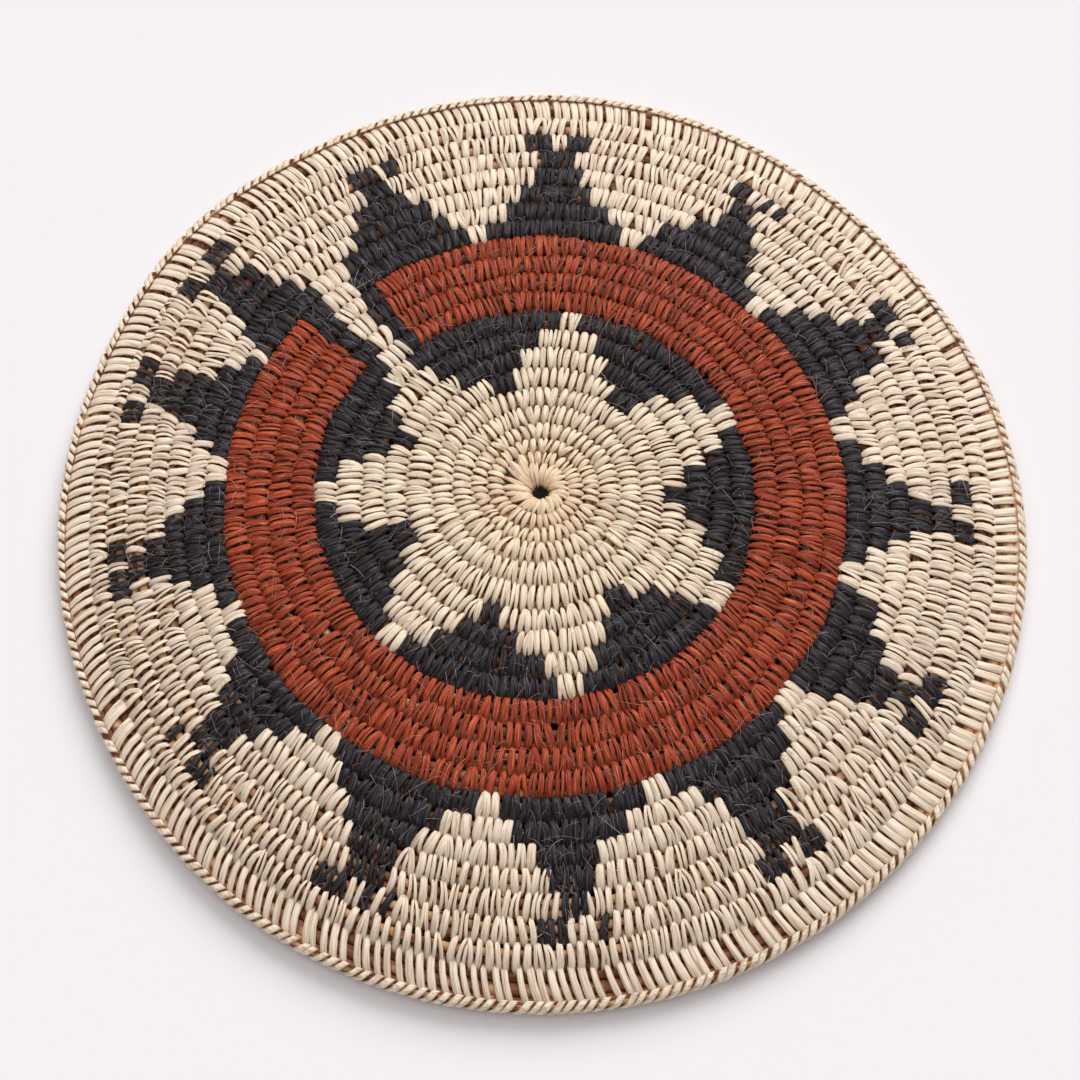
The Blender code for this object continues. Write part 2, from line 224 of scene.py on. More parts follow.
KNOT_FAN_RADIUS = 0.0048  # from here inwards a stitch narrows
KNOT_SWIRL = -13  # degrees
# Height of a knot stitch along its length, as a share of a splint's
KNOT_RISE = ((0, 0.65), (0.2, 0.86), (0.5, 0.93), (1, 1.0))
HOLE_OVAL = 0.09

# The rim
RIM_LEVEL = RIM_HEIGHT / 2
RIM_ENDS = (RIM_INSIDE - 0.0021, RIM_RADIUS - 0.0017)  # radii between which a rim stitch lies
RIM_END_SPREAD = 0.0003
RIM_HALF = 0.0038  # about half the height of a rim stitch
RIM_TILT = 0.14  # how steeply its top rises inwards
RIM_RISE = 0.0012  # how much further the rim's stitches rise on their inner half
# Radius, height, thickness and paleness of the rim's rods
RIM_RODS = (
    (0.1598, 0.0056, 0.0021, 0.0),
    (0.1636, 0.0058, 0.0023, 0.36),
    (0.1616, 0.0031, 0.0022, 0.0),
    (0.1670, 0.0054, 0.0018, 0.32),
    (0.1679, 0.0048, 0.0017, 0.20),
    (0.1683, 0.0058, 0.0010, 0.42),
)
RIM_SPACING = 0.0037
RIM_STITCH_WIDTH = 0.0026
# Width of a rim stitch along its length
RIM_STITCH_SHAPE = ((0, 1.05), (0.15, 1.12), (0.43, 1.0), (0.67, 1.15), (0.89, 1.7), (1, 2.2))
RIM_SLANT = (0.0028, 0.0010, 230)  # how far a stitch leans along the rim, by how much more where
RIM_PALE = ((-13, 20, 0.42),)  # where the rim's rods are paler: angle, spread and by how much
# Where the rim's stitches are wider: angle, spread and by what share
RIM_WIDE = ((316, 26, 0.24), (50, 60, 0.15), (180, 40, 0.10))
RIM_GIVE = 0.35  # share of the way to the nearest gap that a rim stitch gives way
RIM_PULL = 0.25  # degrees that it gives way at most
RIM_UNEVEN = (280, 2.6)  # where the rim stitches stand widest apart, and by how many degrees they drift
BRAID_STRIP = (0.0029, 0.0008)  # width along the rim, and thickness
BRAID_LEAN = 0.0060  # how far a strip runs back along the rim
BRAID_TILT = 0.10  # how far one edge of a strip lies on the next strip
BRAID_RISE = (-0.0001, 0.0002)
BRAID_SLANT = 1.1  # how far its start lies along the rim, as a share of a rim stitch's slant

# Path of a braid strip from the spine over the edge: share of its length, how far inside the rim's
# radius, and height
BRAID_PATH = (
    (0, 0.0028, 0.0081),
    (0.24, 0.0011, 0.0080),
    (0.40, 0.0004, 0.0071),
    (0.56, 0.0002, 0.0058),
    (0.78, 0.0004, 0.0036),
    (1.0, 0.0016, 0.0012),
)

# Loose fibres: width at the root, gamma curve of their lengths, and how far they rise
HAIR_WIDTH = (0.00010, 0.00022)
HAIR_LENGTH = (2.0, 0.0019)
HAIR_RISE = (0.0004, 0.0030)
HAIR_HEADING = 60  # degrees that they stray from straight out or in
HAIR_CURL = 0.4
LEAST_CURL = 0.01
WHITE_HAIRLESS = 0.75  # share of the fibres on white splints that is left out

# Camera, from the turns' sizes in front, behind and at the sides
CAMERA_ELEVATION = 64
CAMERA_DISTANCE = 0.884
CAMERA_LENS = 85.4
SENSOR_WIDTH = 36
IMAGE_SIDE = 1080
HOLE_PIXEL = (541, 490)
HOLE_LEVEL = 0.8 * HALF_COIL  # height of the hole's rim over the dome's middle surface
FLOOR_SIZE = 12

# Light: strength of the surroundings, and each lamp's strength, softness and turn in degrees
WORLD_STRENGTH = 0.27
LAMPS = (("key", 2.45, 46, (-46, 22, 0)), ("top", 0.90, 64, (4, -6, 0)))

# Linear colours of the splints and rods. Changes: another splint, a dark fibre, a bright fibre that is
# partly a painted glint, the painted shade on the sides and where a splint dives
CREAM = (0.95, 0.795, 0.64)
CREAM_CHANGES = ((0.84, 0.69, 0.54), (0.47, 0.31, 0.185), (0.98, 0.91, 0.81), (0.46, 0.28, 0.16))
CREAM_YELLOW = (0.98, 0.835, 0.60)
CHARCOAL = (0.0058, 0.0052, 0.0074)
CHARCOAL_CHANGES = ((0.012, 0.01, 0.012), (0.05, 0.037, 0.036), (0.17, 0.15, 0.17), (0.004, 0.003, 0.004))
RUST = (0.475, 0.067, 0.024)
RUST_CHANGES = ((0.23, 0.027, 0.011), (0.12, 0.014, 0.007), (0.95, 0.30, 0.145), (0.050, 0.006, 0.004))
KNOT_AMBER = (0.95, 0.71, 0.45)
KNOT_SHADE = (0.84, 0.55, 0.34)
ROD_BROWN = (0.30, 0.105, 0.048)
ROD_DARK = (0.050, 0.016, 0.010)
ROD_TAN = (0.66, 0.375, 0.195)
HAIR_COLOURS = {"white": (0.88, 0.72, 0.56), "black": (0.36, 0.33, 0.36), "red": (0.74, 0.30, 0.20)}
HAIR_DARK = 0.45  # how dark the darkest fibres are beside the palest
HAIR_TONES = (0.6, 1.0)
FLOOR_COLOUR = (0.865, 0.835, 0.855)

# Where a change of colour starts and is full in its noise or value, and its shares there, if not 0 and 1
SPLINT_PATCHES = (0.45, 0.70, 0.0, 0.55)
BROAD_STREAKS = (0.52, 0.62, 0.0, 0.60)
FINE_STREAKS = (0.53, 0.60, 0.0, 0.45)
# paler fibres, partly painted glints
GLINTS = (0.43, 0.37, 0.0, 0.60)
SHADED_SIDES = (0.58, 1.0, 0.0, 0.92)
ROD_HOLLOWS = (0.42, 0.66)
ROD_PALENESS = (0.92, 1.02)
HAIR_PALENESS = (0.6, 0.8)
HAIR_PATCHES = (0.5, 0.7, 0.0, 0.5)
# The middle's colours fade over these distances from the origin, which lies below the hole
AMBER_FADE = (0.026, 0.036)
YELLOW_FADE = (0.035, 0.095)
SHADE_FADE = (0.026, 0.042)
PATCHES_PER_METRE = {"splint": 45, "rod": 120, "hair": 900}
BUMP_DEPTH = 0.0004


class BasketSizes(bpy.types.PropertyGroup):
    """Sizes that a maker would change"""

    centre_spacing: FloatProperty(
        name="Centre spacing", description="Stitch to stitch at the centre", default=0.0023, unit="LENGTH"
    )
    rim_spacing: FloatProperty(
        name="Rim spacing", description="Stitch to stitch at the last turn", default=0.0036, unit="LENGTH"
    )
    split_share: FloatProperty(
        name="Split stitches", description="Share of the stitches that lie as two slivers", default=0.42
    )
    start_stitches: IntProperty(name="Start stitches", description="Stitches round the hole", default=30)
    fibres: IntProperty(name="Loose fibres", description="Hair-thin fibres off the splints", default=4600)
    seed: IntProperty(name="Hand", description="Seed of the unevenness of the hand", default=7)


class BasketColours(bpy.types.PropertyGroup):
    """Colours of the splints and rods"""

    white: FloatVectorProperty(name="White", description="Peeled splints", subtype="COLOR", default=CREAM)
    black: FloatVectorProperty(name="Black", description="Black splints", subtype="COLOR", default=CHARCOAL)
    red: FloatVectorProperty(name="Red", description="Dyed splints", subtype="COLOR", default=RUST)
    rod: FloatVectorProperty(name="Rod", description="Foundation rods", subtype="COLOR", default=ROD_BROWN)


def along_table(value, table):
    return np.interp(value, *np.array(table).T)


def short_way(angle, start):
    """Degrees from the start to the angle, the short way round."""
    return (angle - start + FULL_TURN / 2) % FULL_TURN - FULL_TURN / 2


def bulges(angle, table):
    """Sum of the table's bulges at this angle. Each has its angle, its spread and its size."""
    return sum(size * np.exp(-((short_way(angle, where) / spread) ** 2)) for where, spread, size in table)


def on_plan(radius, angle, height):
    """Points of the basket from round radii, angles and heights."""
    reach = np.maximum(radius, 0) / RIM_RADIUS
    turned = np.radians(angle)
    stray = sum(np.sin(waves * turned + lean * reach) for waves, lean in WOBBLE_WAVES)
    radius = radius + WOBBLE * stray * np.clip(4 * reach * (1 - reach), 0, 1)
    out = radius * (1 + bulges(angle, RIM_WANDER) * reach**WANDER_POWER)
    stretch = 1 + OVAL_SHARE * reach**OVAL_POWER
    return np.stack([out * np.cos(turned), out * stretch * np.sin(turned), height + 0 * radius], axis=-1)


def rim_slant(angle):
    usual, more, where = RIM_SLANT
    return usual + more * np.cos(np.radians(angle - where))


def dome_height(radius):
    return RIM_LEVEL + DOME_RISE * (1 - (np.maximum(radius, 0) / RIM_RADIUS) ** DOME_POWER)


def groove_radius(turn):
    """Radius of the groove on the inner side of the coil, after this many turns."""
    first_outer = TURNS - OUTER_TURNS
    row = np.floor(turn)
    part_turn = turn - row
    turns_left = OUTER_TURNS - np.maximum(0, (part_turn - TAPER_START_SHARE) / (1 - TAPER_START_SHARE))
    band_edge = PITCH * (first_outer + part_turn)
    share = np.clip(row - first_outer, 0, turns_left) / turns_left
    outer = band_edge + (RIM_INSIDE - band_edge) * share
    centre = along_table(turn, CENTRE_GROOVE)
    return np.where(turn < CENTRE_TURNS, centre, np.where(row <= first_outer, PITCH * turn, outer))


def coil_place(turns):
    """Radius of the coil's middle and width of the coil, after these turns."""
    inner, outer = groove_radius(turns), groove_radius(turns + 1)
    return (inner + outer) / 2, outer - inner


def coil_angle(turns):
    return SEAM - FULL_TURN * turns


def grown(turns, start, over):
    """Nothing up to the start, growing to one over some turns."""
    return np.clip((turns - start) / over, 0, 1)


def in_span(angle, span):
    first, last = span
    return (angle - first) % FULL_TURN < last - first


def find_span(angle, spans):
    """Number of the span that began last before the angle, and whether it still holds it."""
    behind = [(angle - first) % FULL_TURN for first, _ in spans]
    number = behind.index(min(behind))
    return number, in_span(angle, spans[number])


def wedge_name(number):
    if number == PATHWAY_WEDGE:
        return "pathway"
    return f"white_wedge_{number + 1 - (number > PATHWAY_WEDGE):02d}"


def star_field(angle, level):
    number, inside = find_span(angle, [mound[level] for mound in INNER_MOUNDS])
    return f"inner_mound_{number + 1}" if inside else STAR_GAPS[(number + 1) % len(STAR_GAPS)]


def mountain_field(angle, level):
    number, inside = find_span(angle, [wedge[level] for wedge in WEDGES])
    return wedge_name(number) if inside else f"mountain_{number + 1:02d}"


def squares_field(angle):
    number, inside = find_span(angle, [(first[0], second[1]) for first, second in SQUARES])
    if not inside:
        return wedge_name((number + 1) % len(SQUARES))
    (_, first_end), (second_start, _) = SQUARES[number]
    middle = in_span(angle, (first_end, second_start))
    return "outer_plain_turn" if middle else f"mountain_{number + 1:02d}"


def field_name(turn):
    """Name of the field that a stitch after this many turns belongs to."""
    row = int(turn)
    angle = coil_angle(turn - row)
    if row < STAR_ROWS[0]:
        return "star_centre"
    if row in STAR_ROWS:
        return star_field(angle, row - STAR_ROWS[0])
    if row in RED_ROWS:
        return next((name for name, span in PATHWAY_SPANS.items() if in_span(angle, span)), "red_band")
    if row in MOUNTAIN_ROWS:
        return mountain_field(angle, row - MOUNTAIN_ROWS[0])
    return squares_field(angle) if row == SQUARES_ROW else "outer_plain_turn"


def field_kind(name):
    if name.startswith(("mountain", "inner_mound", "pathway_border")):
        return "black"
    return "red" if name == "red_band" else "white"


def deselect():
    if bpy.context.mode != "OBJECT":
        bpy.ops.object.mode_set(mode="OBJECT")
    bpy.ops.object.select_all(action="DESELECT")


def select_vertices(piece, wanted):
    """Selects exactly these vertices of a piece in edit mode."""
    bpy.ops.object.mode_set(mode="OBJECT")
    mesh = piece.data
    flags = np.zeros(len(mesh.vertices), bool)
    flags[wanted] = True
    for items in (mesh.polygons, mesh.edges):
        items.foreach_set("select", np.zeros(len(items), bool))
    mesh.vertices.foreach_set("select", flags)
    bpy.ops.object.mode_set(mode="EDIT")


def read(items, key, width, kind=float):
    """Values of one property of all points, corners or faces of a mesh."""
    values = np.empty(len(items) * width, kind)
    items.foreach_get(key, values)
    return values.reshape(-1, width) if width > 1 else values


class Pattern:
    """A small shape modelled once, whose copies are bent into place."""

    def __init__(self, piece):
        mesh = piece.data
        self.points = read(mesh.vertices, "co", 3)
        # Painted shade grows towards a strip's sides, where a pattern sets no other
        aside = np.abs(self.points[:, 1])
        self.edge = aside / aside.max()
        self.uvs = read(mesh.uv_layers.active.data, "uv", 2)
        self.corners = read(mesh.loops, "vertex_index", 1, np.int64)
        self.sizes = read(mesh.polygons, "loop_total", 1, np.int64)
        bpy.data.objects.remove(piece)
        bpy.data.meshes.remove(mesh)


def model_splint_loop():
    """One splint loop: a flat ring drawn out to the coil's section and narrowed where it dives."""
    deselect()
    count = len(LOOP_STATIONS)
    bpy.ops.mesh.primitive_torus_add(
        major_segments=count,
        minor_segments=LOOP_SIDES,
        major_radius=HALF_COIL,
        minor_radius=SPLINT_WIDTH / 2,
        rotation=(math.pi / 2, 0, 0),
    )
    ring = bpy.context.object
    bpy.ops.object.transform_apply()
    select_vertices(ring, slice(1, None, 2))
    bpy.ops.transform.resize(value=(1, SPLINT_FLATNESS, 1), center_override=(0, 0, 0))
    flat = SPLINT_THICKNESS / SPLINT_WIDTH
    for station, (across, up, width) in enumerate(LOOP_STATIONS):
        first = station * LOOP_SIDES
        select_vertices(ring, slice(first, first + LOOP_SIDES))
        turned = 2 * math.pi * station / count
        middle = Vector((HALF_COIL * math.cos(turned), 0, HALF_COIL * math.sin(turned)))
        bpy.ops.transform.resize(value=(flat, width, flat), center_override=middle)
        place = Vector((across * PITCH, 0, up * HALF_COIL))
        bpy.ops.transform.translate(value=place - middle)
    bpy.ops.object.mode_set(mode="OBJECT")
    pattern = Pattern(ring)
    # How much painted shade each point takes: on the splint's sides, and on its low parts where it dives
    sides = np.tile(np.abs(np.sin(2 * np.pi * np.arange(LOOP_SIDES) / LOOP_SIDES)), count)
    depth = 1.25 - pattern.points[:, 2] / HALF_COIL
    pattern.edge = np.clip(np.maximum(sides, depth), 0, 1)
    return pattern


def model_along(add, cuts, **settings):
    """A piece one unit long along X, cut across so that it can bend."""
    deselect()
    add(depth=1, rotation=(0, math.pi / 2, 0), **settings)
    piece = bpy.context.object
    bpy.ops.object.transform_apply()
    bpy.ops.object.mode_set(mode="EDIT")
    bpy.ops.mesh.select_mode(type="EDGE")
    bpy.ops.mesh.select_all(action="DESELECT")
    bpy.ops.object.mode_set(mode="OBJECT")
    for edge in piece.data.edges:
        ends = [piece.data.vertices[index].co.x for index in edge.vertices]
        edge.select = abs(ends[0] - ends[1]) > 0.5
    bpy.ops.object.mode_set(mode="EDIT")
    bpy.ops.mesh.subdivide(number_cuts=cuts)
    bpy.ops.mesh.select_mode(type="VERT")
    bpy.ops.object.mode_set(mode="OBJECT")
    return piece


def model_strip():
    """One braid strip: a flat bar along X."""
    width, thickness = BRAID_STRIP
    shape = {"vertices": LOOP_SIDES, "radius": width / 2, "end_fill_type": "NGON"}
    strip = model_along(bpy.ops.mesh.primitive_cylinder_add, STRIP_CUTS, **shape)
    bpy.ops.object.mode_set(mode="EDIT")
    bpy.ops.mesh.select_all(action="SELECT")
    bpy.ops.transform.resize(value=(1, 1, thickness / width), center_override=(0, 0, 0))
    bpy.ops.object.mode_set(mode="OBJECT")
    return Pattern(strip)


def model_hair():
    """One fibre: a thin three-sided cone along X, from its root at the origin."""
    shape = {"vertices": 3, "radius1": 0.5, "radius2": 0.2, "location": (0.5, 0, 0)}
    return Pattern(model_along(bpy.ops.mesh.primitive_cone_add, HAIR_CUTS, **shape))


def link_object(name, data):
    made = bpy.data.objects.new(name, data)
    bpy.context.scene.collection.objects.link(made)
    return made


def build_mesh(name, points, corners, sizes, uvs, **values):
    """A mesh object from arrays, smooth but for crisp edges, with its UV map and point attributes."""
    mesh = bpy.data.meshes.new(name)
    mesh.vertices.add(len(points))
    mesh.vertices.foreach_set("co", points.ravel())
    mesh.loops.add(len(corners))
    mesh.loops.foreach_set("vertex_index", corners)
    mesh.polygons.add(len(sizes))
    mesh.polygons.foreach_set("loop_start", np.concatenate([[0], np.cumsum(sizes)[:-1]]))
    mesh.update(calc_edges=True)
    mesh.polygons.foreach_set("use_smooth", np.ones(len(sizes), bool))
    layer = mesh.uv_layers.new(name="grain")
    layer.data.foreach_set("uv", uvs.ravel())
    for key, numbers in values.items():
        mesh.attributes.new(key, "FLOAT", "POINT").data.foreach_set("value", numbers)
    mesh.validate()
    mesh.set_sharp_from_angle(angle=CRISP_ANGLE)
    return link_object(name, mesh)


def lay_copies(name, pattern, places, tones, random):
    """Joins bent copies of a pattern into one piece. places holds the points of every copy."""
    count, size = places.shape[:2]
    corners = (pattern.corners + size * np.arange(count)[:, None]).ravel()
    sizes = np.tile(pattern.sizes, count)
    uvs = (pattern.uvs + random.random((count, 1, 2)) * GRAIN_SHIFT).reshape(-1, 2)
    # edge holds each point's share of painted shade
    tone, edge = np.repeat(tones, size), np.tile(pattern.edge, count)
    return build_mesh(name, places.reshape(-1, 3), corners, sizes, uvs, tone=tone, edge=edge)


def random_tones(random, tone, count):
    return np.clip(random.normal(*tone, count), 0, 1)


def lay_white(name, pattern, places, tone, random, replaced):
    """Lays white splints at these places, with tones round the usual one."""
    tones = random_tones(random, tone, len(places))
    finish_piece(lay_copies(name, pattern, places, tones, random), "white", replaced)


def finish_piece(piece, kind, *nodes, material=None):
    """Gives a piece its material and body, and hides the nodes that it stands for."""
    piece.data.materials.append(material or shared_materials()[kind])
    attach(piece, BODY)
    if nodes:
        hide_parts(*nodes)


# Materials


def set_inputs(tree, made, inputs):
    """Links or sets a node's inputs, each of them a socket or a plain value."""
    for key, value in inputs.items():
        if hasattr(value, "links"):
            tree.links.new(value, made.inputs[key])
        else:
            made.inputs[key].default_value = value


def node(tree, kind, inputs, **settings):
    made = tree.nodes.new(kind)
    for key, value in settings.items():
        setattr(made, key, value)
    set_inputs(tree, made, inputs)
    return made.outputs


def mix_colour(tree, factor, *colours):
    first, second = (colour if hasattr(colour, "links") else (*colour, 1) for colour in colours)
    return node(tree, "ShaderNodeMix", {0: factor, 6: first, 7: second}, data_type="RGBA")[2]


def change(tree, colour, value, ends, other):
    """The colour, changing to another one as a value goes from one end to the other."""
    factor = node(tree, "ShaderNodeMapRange", dict(enumerate((value, *ends))))[0]
    return mix_colour(tree, factor, colour, other)


def noise(tree, vector, scale, detail):
    inputs = {"Vector": vector, "Scale": scale, "Detail": detail}
    return node(tree, "ShaderNodeTexNoise", inputs)["Fac"]


def bump(tree, height):
    inputs = {"Height": height, "Strength": 0.5, "Distance": BUMP_DEPTH}
    return node(tree, "ShaderNodeBump", inputs)["Normal"]


def new_material(name, roughness, specular=0.5):
    """A material, its node tree and its shader."""
    material = bpy.data.materials.new(name)
    material.use_nodes = True
    shader = material.node_tree.nodes["Principled BSDF"]
    set_inputs(material.node_tree, shader, {"Roughness": roughness, "Specular IOR Level": specular})
    return material, material.node_tree, shader


def point_value(tree, key):
    return node(tree, "ShaderNodeAttribute", {}, attribute_name=key)["Fac"]


def place_on_piece(tree):
    return node(tree, "ShaderNodeTexCoord", {})["Object"]


def grain(tree, scale, detail=2.0):
    """Noise drawn out along a splint, a rod or a strip."""
    uv = node(tree, "ShaderNodeUVMap", {}, uv_map="grain")["UV"]
    drawn = node(tree, "ShaderNodeMapping", {"Vector": uv, "Scale": scale})["Vector"]
    return noise(tree, drawn, 1.0, detail)


def patches(tree, kind, detail=2.0):
    return noise(tree, place_on_piece(tree), PATCHES_PER_METRE[kind], detail)


def splint_material(name, base, other, streak, glint, below, centre=None):
    """A split and scraped splint: colour that changes from stitch to stitch, with fibre along it, partly
    painted glints and painted shade on its sides.
    """
    material, tree, shader = new_material(name, 0.5, 0.15)
    if centre:
        away = node(tree, "ShaderNodeVectorMath", {0: place_on_piece(tree)}, operation="LENGTH")["Value"]
        aged = change(tree, KNOT_AMBER, away, AMBER_FADE, centre)
        base = change(tree, aged, away, YELLOW_FADE, base)
        other = change(tree, KNOT_SHADE, away, SHADE_FADE, other)
    broad, fine = grain(tree, (2.5, 10, 1)), grain(tree, (4, 34, 1))
    colour = mix_colour(tree, point_value(tree, "tone"), base, other)
    colour = change(tree, colour, patches(tree, "splint", 3.0), SPLINT_PATCHES, other)
    colour = change(tree, colour, broad, BROAD_STREAKS, streak)
    colour = change(tree, colour, fine, FINE_STREAKS, streak)
    # Paler fibres, partly painted glints that stand in for highlights
    colour = change(tree, colour, fine, GLINTS, glint)
    # Painted shade: darker on each splint's sides and on its low parts where it dives under the next turn
    colour = change(tree, colour, point_value(tree, "edge"), SHADED_SIDES, below)
    set_inputs(tree, shader, {"Base Color": colour, "Normal": bump(tree, broad)})
    return material


def rod_material():
    """Peeled rod: brown, with long grain, dark hollows and paler lengths."""
    material, tree, shader = new_material("bare_rod_wood", 0.65, 0.3)
    fibre = grain(tree, (2, 6, 1), 3.0)
    both = {0: patches(tree, "rod"), 1: point_value(tree, "tone")}
    pale = node(tree, "ShaderNodeMath", both, operation="ADD")["Value"]
    colour = change(tree, bpy.context.scene.basket_colours.rod, fibre, ROD_HOLLOWS, ROD_DARK)
    colour = change(tree, colour, pale, ROD_PALENESS, ROD_TAN)
    set_inputs(tree, shader, {"Base Color": colour, "Normal": bump(tree, fibre)})
    return material


def hair_material(kind):
    """Single fibres, mostly paler than the splint that they come off."""
    material, tree, shader = new_material(f"{kind}_hair", 0.5)
    pale, dark = HAIR_COLOURS[kind], [HAIR_DARK * share for share in HAIR_COLOURS[kind]]
    colour = change(tree, dark, point_value(tree, "tone"), HAIR_PALENESS, pale)
    colour = change(tree, colour, patches(tree, "hair"), HAIR_PATCHES, dark)
    set_inputs(tree, shader, {"Base Color": colour})
    return material


@functools.cache
def shared_materials():
    """The basket's materials, made once."""
    colours = bpy.context.scene.basket_colours
    return {
        "white": splint_material("white_splint_fibre", colours.white, *CREAM_CHANGES, CREAM_YELLOW),
        "black": splint_material("black_splint_fibre", colours.black, *CHARCOAL_CHANGES),
        "red": splint_material("red_splint_fibre", colours.red, *RUST_CHANGES),
        "rod": rod_material(),
    }


# Stitches


class Stitches:
    """Every stitch of the coil: its turn count, the room it takes, and how it lies."""

    def __init__(self, sizes, random):
        self.sizes = sizes
        self.lay_out(random)
        count = len(self.turns)
        self.dive = self.nearest_gap()
        self.width = random.uniform(*WIDTH_RANGE, count)
        self.lean = random.normal(0, LEAN_SPREAD, count)
        self.tone = random_tones(random, COIL_TONE, count)
        wide = self.rooms > np.median(self.rooms) * SLIVER_ROOM
        self.split(wide & (random.random(count) < sizes.split_share), random)

    def lay_out(self, random):
        """Sets stitch after stitch along the coil, each with its room."""
        inmost, outmost = self.sizes.centre_spacing, self.sizes.rim_spacing
        turns, rooms = [], []
        turn, last = STITCHED_TURNS
        while turn < last:
            radius = float(coil_place(turn)[0])
            room = inmost + (outmost - inmost) * radius / RIM_RADIUS
            room *= random.choice(ROOM_CHOICES)
            step = room / (2 * math.pi * radius)
            turns.append(turn + step / 2)
            rooms.append(room)
            turn += step
        self.turns, self.rooms = np.array(turns), np.array(rooms)

    def nearest_gap(self):
        """Where each stitch dives between two stitches of the turn before it, as an offset in turns."""
        gaps = (self.turns[1:] + self.turns[:-1]) / 2
        wanted = self.turns - 1
        index = np.clip(np.searchsorted(gaps, wanted), 1, len(gaps) - 1)
        before, after = gaps[index - 1] - wanted, gaps[index] - wanted
        nearer = np.where(np.abs(after) < np.abs(before), after, before)
        return np.where(wanted > self.turns[0], nearer, 0)

    def split(self, chosen, random):
        """Lays the chosen stitches as two slivers side by side, a little apart at one end."""
        twice = np.where(chosen, 2, 1)
        second = np.concatenate([np.arange(times) for times in twice])
        for name in ("turns", "rooms", "dive", "width", "lean", "tone"):
            setattr(self, name, np.repeat(getattr(self, name), twice))
        chosen = np.repeat(chosen, twice)
        side = np.where(chosen, 2 * second - 1, 0)
        spread = random.uniform(*SLIVER_LEAN, len(side))
        self.shift = side * SLIVER_APART
        self.lean = self.lean + side * spread
        self.width = np.where(chosen, self.width * random.uniform(*SLIVER_WIDTH, len(side)), self.width)
        self.tone = np.clip(self.tone + np.where(chosen, random.normal(*SLIVER_TONE, len(side)), 0), 0, 1)

    def bend(self, pattern, random):
        """Points of every splint loop, laid round the coil at its turn."""
        values = (self.turns, self.rooms, self.dive, self.width, self.lean, self.shift)
        turns, rooms, dive, width, lean, shift = (value[:, None] for value in values)
        each = turns.shape
        middle, pitch = coil_place(turns)
        x, y, z = pattern.points.T
        across = x / PITCH
        outer_end = np.clip(2 * across - 0.2, 0, 1)
        inner_end = np.clip(-2.5 * across - 0.5, 0, 1)
        opened = grown(turns, *OPEN_TURNS)
        front = 0.5 + 0.5 * np.cos(np.radians(coil_angle(turns) - OPEN_FRONT))
        inmost = np.clip((CENTRE_TURNS - turns) / CENTRE_TURNS, 0, 1)
        dense = np.array([[DENSE_FILL[field_kind(field_name(turn))]] for turn in self.turns])
        fill = (dense - opened * (OPEN_ROOM[0] + OPEN_ROOM[1] * front) - INMOST_ROOM * inmost) * width
        stretch = np.where(across < 0, random.uniform(*LENGTH_RANGE, each), 1)
        radius = middle + across * stretch * pitch
        share = shift + lean * across + random.normal(0, BOW_SPREAD, each) * (1 - 4 * across**2)
        broad = 0.75 * grown(turns, *BLUNT_TURNS) + 0.25 * opened
        blunt = 1 + broad * (0.8 * outer_end + 0.4 * inner_end**2)
        usual = np.interp(turns, (0, TURNS), (self.sizes.centre_spacing, self.sizes.rim_spacing))
        splint = fill * (0.55 * rooms + 0.45 * usual) / SPLINT_WIDTH
        side = y * blunt * splint + share * rooms
        pull = np.clip((0.24 - across) / 0.75, 0, 1) ** 1.5
        angle = coil_angle(turns) - 0.9 * FULL_TURN * (dive * pull)
        angle = angle + np.degrees(side / middle / np.clip(radius / middle, 0.5, 2) ** 0.5)
        thin = np.clip(pitch / PITCH, 0.3, 1)
        lift = random.uniform(*HEIGHT_RANGE, each) * (0.4 + 0.6 * thin)
        height = dome_height(radius) + z * lift + random.normal(0, ROLL_SPREAD, each) * y
        height = height - LAST_DIVE * grown(turns, *LAST_TURNS) * outer_end
        return on_plan(radius, angle, height)


class BASKET_OT_coil_stitches(bpy.types.Operator):
    """Lays the splint stitches of every field along the coil"""

    bl_idname = "basket.coil_stitches"
    bl_label = "Coil stitches"

    def execute(self, context):
        sizes = context.scene.basket_sizes
        random = np.random.default_rng(sizes.seed)
        pattern = model_splint_loop()
        stitches = Stitches(sizes, random)
        places = stitches.bend(pattern, random)
        fields = {}
        strays = random.random(len(stitches.turns)) < STRAY_SHARE
        for index, turn in enumerate(stitches.turns):
            name = field_name(turn)
            if int(turn) == SQUARES_ROW and field_kind(name) == "black" and strays[index]:
                name = "outer_plain_turn"
            fields.setdefault(name, []).append(index)
        for name, members in fields.items():
            tones = stitches.tone[members]
            piece = lay_copies(f"{name}_stitches", pattern, places[members], tones, random)
            finish_piece(piece, field_kind(name), name)
        return {"FINISHED"}


